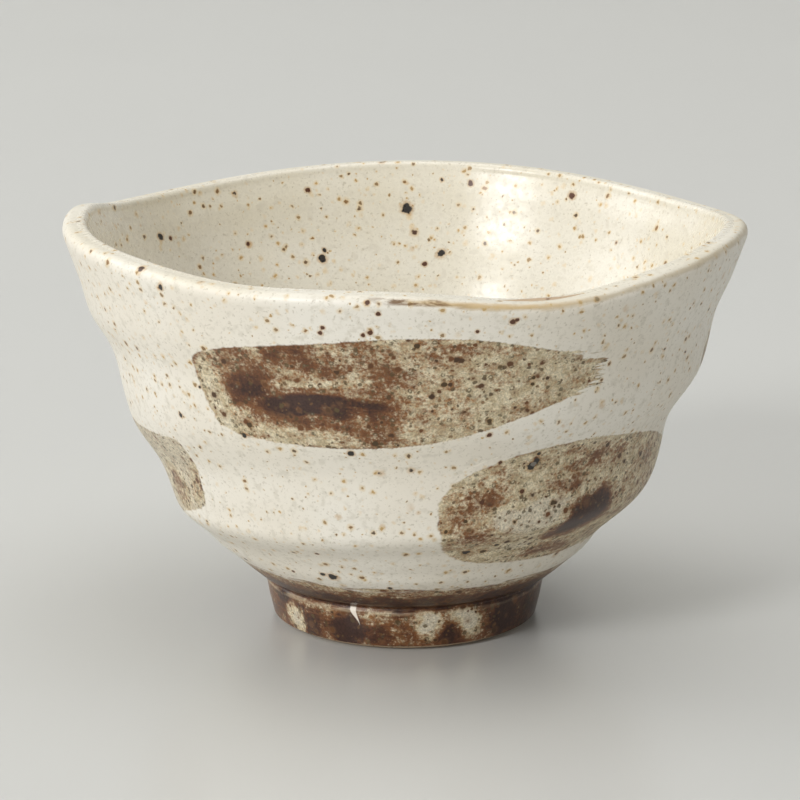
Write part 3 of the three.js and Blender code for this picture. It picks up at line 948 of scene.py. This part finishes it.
def disc(name):
    """A flat disc of rings, one unit in radius at the stroke's edge, with more rings for its margin."""
    bpy.ops.object.select_all(action="DESELECT")
    bpy.ops.mesh.primitive_circle_add(vertices=ROUND, radius=1 / RINGS, fill_type="TRIFAN")
    flat = bpy.context.object
    flat.name = name
    bpy.ops.object.mode_set(mode="EDIT")
    bpy.ops.mesh.select_mode(type="EDGE")
    bpy.ops.mesh.select_all(action="SELECT")
    bpy.ops.mesh.region_to_loop()
    for ring in range(2, RINGS + 1 + MARGIN_RINGS):
        bpy.ops.mesh.extrude_edges_move(TRANSFORM_OT_translate={"value": (0, 0, 0)})
        grow = ring / (ring - 1)
        bpy.ops.transform.resize(value=(grow, grow, 1), center_override=(0, 0, 0))
    bpy.ops.object.mode_set(mode="OBJECT")
    return flat


def onto_wall(across, up, facing, proud):
    """Lays points, seen square on from the facing angle, on the outside of the bowl."""
    station = up.copy()
    angle = np.full_like(across, facing)
    radius = np.full_like(across, RIM_RADIUS)
    for _ in range(12):
        radius = np.interp(station, wall_line[:, 1], wall_line[:, 0]) + finger_mark(angle, station) + proud
        angle = facing + np.arcsin(np.clip(across / radius, -0.98, 0.98))
        station = up - rim_lift(angle, station)
    return np.stack([radius * np.cos(angle), radius * np.sin(angle), up], axis=1) * MM


def brush_stroke(name, node, facing, middle, up_reach, across_reach, outline, pools, base, dry):
    """
    A patch on the wall, with the brush's directions, its edge and its iron kept on every point.
    It faces an angle in degrees, and its middle and its reach up are shares of the wall's rise.
    Its reach across is a share of the rim's radius, and its outline is in shares of both reaches.
    A pool is a place, a reach, a turn in degrees and a thickness, in millimetres from the middle.
    The iron's base is worked out from the place, and dry says how much it dries out, from where to where.
    """
    knots = [(x * across_reach * RIM_RADIUS, y * up_reach * WHOLE_RISE) for x, y in outline]
    closed = drawn_through(knots[-3:] + knots + knots[:4], EDGE_STEPS)
    rim_angle = np.unwrap(np.arctan2(closed[:, 1], closed[:, 0]))
    order = np.argsort(np.mod(rim_angle, 2 * math.pi))
    rim_angle = np.mod(rim_angle, 2 * math.pi)[order]
    rim_reach = np.hypot(closed[:, 0], closed[:, 1])[order]
    patch = disc(name)
    flat = points_of(patch)
    angle = np.mod(np.arctan2(flat[:, 1], flat[:, 0]), 2 * math.pi)
    share = np.hypot(flat[:, 0], flat[:, 1])
    reach = np.interp(angle, rim_angle, rim_reach, period=2 * math.pi)
    along = reach * np.minimum(share, 1.0)
    drying = dry[0] * eased(np.cos(angle) * reach, dry[1], dry[2])
    along += (share - 1.0).clip(0) * RINGS * (0.4 + 1.4 * np.abs(drying))
    across = along * np.cos(angle)
    up = along * np.sin(angle)
    rim = closed[::8]
    gap = np.hypot(across[:, None] - rim[:, 0], up[:, None] - rim[:, 1]).min(axis=1)
    edge = np.where(share < 1.0, gap, -gap)
    thick = base(across, up) + pooled(across, up, pools)
    patch_drying = dry[0] * eased(across, dry[1], dry[2])
    height = FOOT_HEIGHT + middle * WHOLE_RISE + up
    places = onto_wall(across, height, math.radians(facing), LAID_ON)
    patch.data.vertices.foreach_set("co", places.ravel())
    kept = {"across": across, "up": up, "edge": edge, "iron": thick, "dry": patch_drying}
    for label, values in kept.items():
        keep_on_points(patch, label, values)
    patch.data.update()
    bpy.ops.object.shade_smooth()
    thicken(patch, STROKE_DEPTH)
    patch.data.materials.append(brushed_iron)
    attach(patch, "root")
    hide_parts(node)


brushed_iron, tree, shader, where = new_material("brushed_iron_slip")
across = attribute(tree, "across")
up = attribute(tree, "up")
brush = add_node(tree, "CombineXYZ", X=times(tree, across, 0.12), Y=times(tree, up, 0.8))
rim = between(tree, attribute(tree, "edge"), 0.8, 0.1, 0.0, 0.05)
rimmed = reckon(tree, "ADD", attribute(tree, "iron"), rim)
colour, roughness, _ = iron_glaze(tree, where, brush.outputs[0], rimmed)
white, _, white_height = white_glaze(tree, where, MILK, CREAM)
# The stroke's edge is ragged, and combed into lines where the brush ran dry.
bristle = add_node(tree, "CombineXYZ", X=times(tree, across, 0.1), Y=times(tree, up, 1.1))
bristles = mottle(tree, bristle.outputs[0], 1.0, 3.0, 0.7)
ragged = mottle(tree, where, 700.0, 3.0, 0.6)
edge = swayed(tree, attribute(tree, "edge"), ragged, 0.8)
comb = times(tree, attribute(tree, "dry"), BRISTLE_REACH)
edge = swayed(tree, edge, bristles, comb)
covered = between(tree, edge, -0.15, 0.3)
colour = with_spots(tree, where, blend(tree, covered, white, colour))
coat(tree, shader, colour, roughness, white_height, GLAZE_RELIEF, IRON_GLOSS)

FRONT_OUTLINE = [
    (-1, 0.33), (-0.93, 0.56), (-0.7, 0.76), (-0.13, 1), (0.31, 0.99), (0.66, 0.74), (0.86, 0.48),
    (0.91, 0.18), (0.81, -0.14), (0.49, -0.54), (0.11, -0.88), (-0.39, -1), (-0.81, -0.88), (-0.93, -0.45),
]
FRONT_POOLS = [
    (-18.8, -2.7, 6.4, 2.1, 12, 0.34),
    (-10.8, -2.4, 8.0, 2.1, -4, 0.34),
    (-19.0, -1.6, 4.6, 1.0, 14, 0.2),
    (-12.6, -1.0, 3.6, 0.9, 0, 0.24),
    (-5.6, -1.8, 4.4, 0.9, -10, 0.2),
    (-15.0, -4.8, 7.0, 2.2, 0, 0.23),
    (-22.8, -1.2, 3.2, 2.2, -20, 0.14),
    (-26.6, 0.0, 4.0, 4.6, -20, 0.31),
    (-19.3, 6.4, 4.4, 2.6, 0, 0.13),
    (-13.0, 4.8, 5.0, 2.4, -15, 0.13),
    (-3.4, 4.6, 4.6, 3.2, -35, 0.12),
    (5.8, 6.4, 5.0, 2.0, -8, 0.18),
    (12.0, 8.4, 10.0, 1.1, -5, 0.3),
    (2.0, -1.0, 10.0, 6.0, 0, 0.08),
    (-5.7, -6.0, 6.0, 1.8, 5, 0.14),
    (-31.6, -3.0, 2.6, 8.0, 18, -0.35),
    (-22.0, -8.4, 9.0, 2.2, -3, -0.24),
    (-16.0, 1.5, 5.0, 0.8, 4, -0.26),
    (-7.8, 2.6, 2.6, 2.0, 0, -0.16),
    (-12.5, -8.2, 4.0, 1.8, 0, -0.25),
]
brush_stroke(
    "iron_front_stroke", "front_stroke", facing=-90, middle=0.72,
    up_reach=0.162, across_reach=0.586, outline=FRONT_OUTLINE, pools=FRONT_POOLS,
    base=lambda across, up: 0.46 - 0.26 * eased(across, -10.0, 12.0), dry=(0.75, 25.0, 33.0),
)

RIGHT_OUTLINE = [
    (-1, 0.1), (-0.99, 0.38), (-0.9, 0.66), (-0.69, 0.91), (-0.28, 1), (0.25, 0.81), (0.58, 0.59),
    (0.95, 0.14), (0.98, -0.32), (0.67, -0.85), (0.25, -1), (-0.32, -0.98), (-0.69, -0.83), (-0.92, -0.44),
]
RIGHT_POOLS = [
    (-2.6, -2.4, 6.6, 4.4, 8, 0.74),
    (-7.0, -5.2, 4.6, 2.2, 18, 0.42),
    (-12.0, -1.0, 8.0, 3.4, 10, -0.16),
    (-17.0, -2.6, 5.0, 2.6, 0, -0.12),
    (-6.0, 8.4, 12.0, 3.0, -6, 0.2),
    (-25.6, 0.6, 4.0, 6.0, 0, 0.16),
    (-9.4, 3.8, 4.4, 2.2, 8, 0.3),
    (-23.5, 3.2, 5.0, 2.2, -10, 0.18),
    (-26.4, -1.6, 2.0, 3.4, 0, 0.2),
    (-23.0, -4.8, 4.6, 1.4, -8, 0.26),
    (-20.5, -1.0, 3.0, 2.2, 0, -0.2),
    (-14.0, -0.6, 3.6, 3.4, 0, -0.16),
    (-5.0, -9.8, 8.0, 1.5, -6, 0.34),
    (-12.0, -8.0, 6.0, 1.4, -6, -0.14),
    (9.0, 3.6, 12.0, 6.0, 10, 0.02),
]
brush_stroke(
    "iron_right_stroke", "right_stroke", facing=-42, middle=0.354,
    up_reach=0.193, across_reach=0.503, outline=RIGHT_OUTLINE, pools=RIGHT_POOLS,
    base=lambda across, up: 0.22 + 0.06 * eased(across, -10.0, 6.0), dry=(0.5, 24.0, 30.0),
)

LEFT_OUTLINE = [
    (0.95, 1.02), (0.945, 0.72), (0.91, 0.4), (0.88, 0.1), (0.86, -0.17), (0.79, -0.37),
    (0.61, -0.6), (0.4, -0.8), (0.08, -0.97), (-0.3, -1), (-0.59, -0.8), (-0.86, -0.26),
    (-0.85, 0.37), (-0.6, 0.76), (-0.15, 0.84), (0.24, 0.86), (0.59, 0.92), (0.83, 0.98),
]
LEFT_POOLS = [
    (30.8, 2.4, 1.3, 6.4, -34, 0.24),
    (22.0, -1.0, 3.6, 4.4, -30, 0.42),
    (4.0, 0.0, 10.0, 4.0, 0, 0.5),
]
brush_stroke(
    "iron_left_stroke", "left_stroke", facing=176, middle=0.345,
    up_reach=0.158, across_reach=0.582, outline=LEFT_OUTLINE, pools=LEFT_POOLS,
    base=lambda across, up: np.full_like(across, 0.06), dry=(0.0, 24.0, 30.0),
)

BACK_OUTLINE = [
    (-1, -0.12), (-0.89, 0.35), (-0.51, 0.8), (0, 1), (0.54, 0.87), (0.92, 0.49), (1, -0.02),
    (0.86, -0.59), (0.48, -0.89), (0, -1), (-0.46, -0.94), (-0.84, -0.65),
]
BACK_POOLS = [
    (-12.0, 0.0, 9.0, 3.4, 5, 0.4),
    (8.0, 2.0, 9.0, 3.0, 0, 0.2),
]
brush_stroke(
    "iron_back_stroke", "back_stroke", facing=22, middle=0.696,
    up_reach=0.132, across_reach=0.549, outline=BACK_OUTLINE, pools=BACK_POOLS,
    base=lambda across, up: 0.42 - 0.2 * eased(across, 0.0, 24.0), dry=(0.8, 24.0, 31.0),
)


# Table, light and camera
# A plain pale table that sweeps up behind the bowl, and the photographer's place a little above the rim.
# The light is a soft square window at the left of the front, a second at the left of the back, a low card
# in front and a wide window overhead.
TABLE_SIZE = 4.0
BACKDROP_HEIGHT = 2.5
SWEEP = 0.8
TABLE_GREY = tone(195, 195, 191)
PALE_TABLE_GREY = tone(198, 198, 194)
ROOM_LIGHT = 0.3
ROOM_TONE = (1.0, 0.985, 0.955, 1.0)

bpy.ops.object.select_all(action="DESELECT")
bpy.ops.mesh.primitive_plane_add(size=TABLE_SIZE)
table = bpy.context.object
table.name = "pale_table"
bpy.ops.object.mode_set(mode="EDIT")
bpy.ops.mesh.select_mode(type="EDGE")
bpy.ops.mesh.select_all(action="DESELECT")
bpy.ops.object.mode_set(mode="OBJECT")
for line in table.data.edges:
    ends = [table.data.vertices[index].co.y for index in line.vertices]
    line.select = min(ends) > 0.0
bpy.ops.object.mode_set(mode="EDIT")
bpy.ops.mesh.extrude_edges_move(TRANSFORM_OT_translate={"value": (0, 0, BACKDROP_HEIGHT)})
bpy.ops.object.mode_set(mode="OBJECT")
sweep = table.modifiers.new("sweep", "BEVEL")
sweep.width = SWEEP
sweep.segments = 24
bpy.context.view_layer.objects.active = table
bpy.ops.object.modifier_apply(modifier="sweep")
bpy.ops.object.shade_smooth()
table_top, tree, shader, where = new_material("pale_table_top")
shade = mottle(tree, where, 6.0, 2.0)
feed(tree, blend(tree, shade, TABLE_GREY, PALE_TABLE_GREY), shader.inputs["Base Color"])
shader.inputs["Roughness"].default_value = 0.28
shader.inputs["Specular IOR Level"].default_value = 0.7
table.data.materials.append(table_top)

world = bpy.data.worlds.new("studio")
bpy.context.scene.world = world
world.use_nodes = True
room = world.node_tree.nodes["Background"]
room.inputs["Color"].default_value = ROOM_TONE
room.inputs["Strength"].default_value = ROOM_LIGHT


WHITE_LIGHT = (1.0, 1.0, 1.0)
DAYLIGHT = (0.98, 0.99, 1.0)
AIM = (0.0, 0.0, 0.04)


def window(name, place, aim, width, tall, power, colour=WHITE_LIGHT):
    """A large soft panel of light at a place in metres, turned to the aim, with its power in watts."""
    light = bpy.data.lights.new(name, "AREA")
    light.shape = "RECTANGLE"
    light.size = width
    light.size_y = tall
    light.energy = power
    light.color = colour
    panel = bpy.data.objects.new(name, light)
    bpy.context.collection.objects.link(panel)
    toward = np.array(aim) - np.array(place)
    flat = math.hypot(toward[0], toward[1])
    turn = math.atan2(toward[1], toward[0]) - math.pi / 2
    panel.location = place
    panel.rotation_euler = (math.atan2(flat, -toward[2]), 0.0, turn)


window("left_window", (-3.16, -3.57, 2.64), AIM, width=1.3, tall=1.3, power=143.0, colour=DAYLIGHT)
window("side_window", (-2.3, 0.7, 1.7), AIM, width=2.0, tall=2.0, power=36.0)
window("low_card", (-0.6, -1.9, 0.25), AIM, width=1.0, tall=0.4, power=6.0)
window("high_window", (0.35, 0.1, 2.0), (0.0, 0.0, 0.0), width=1.8, tall=1.8, power=20.0)

CAMERA_PLACE = (-0.0009, -0.550, 0.181)
CAMERA_TILT = math.radians(75.6)

camera = bpy.data.cameras.new("photographer")
camera.lens = 140.7
camera.sensor_width = 36.0
stand = bpy.data.objects.new("photographer", camera)
bpy.context.collection.objects.link(stand)
stand.location = CAMERA_PLACE
stand.rotation_euler = (CAMERA_TILT, 0.0, 0.0)
bpy.context.scene.camera = stand
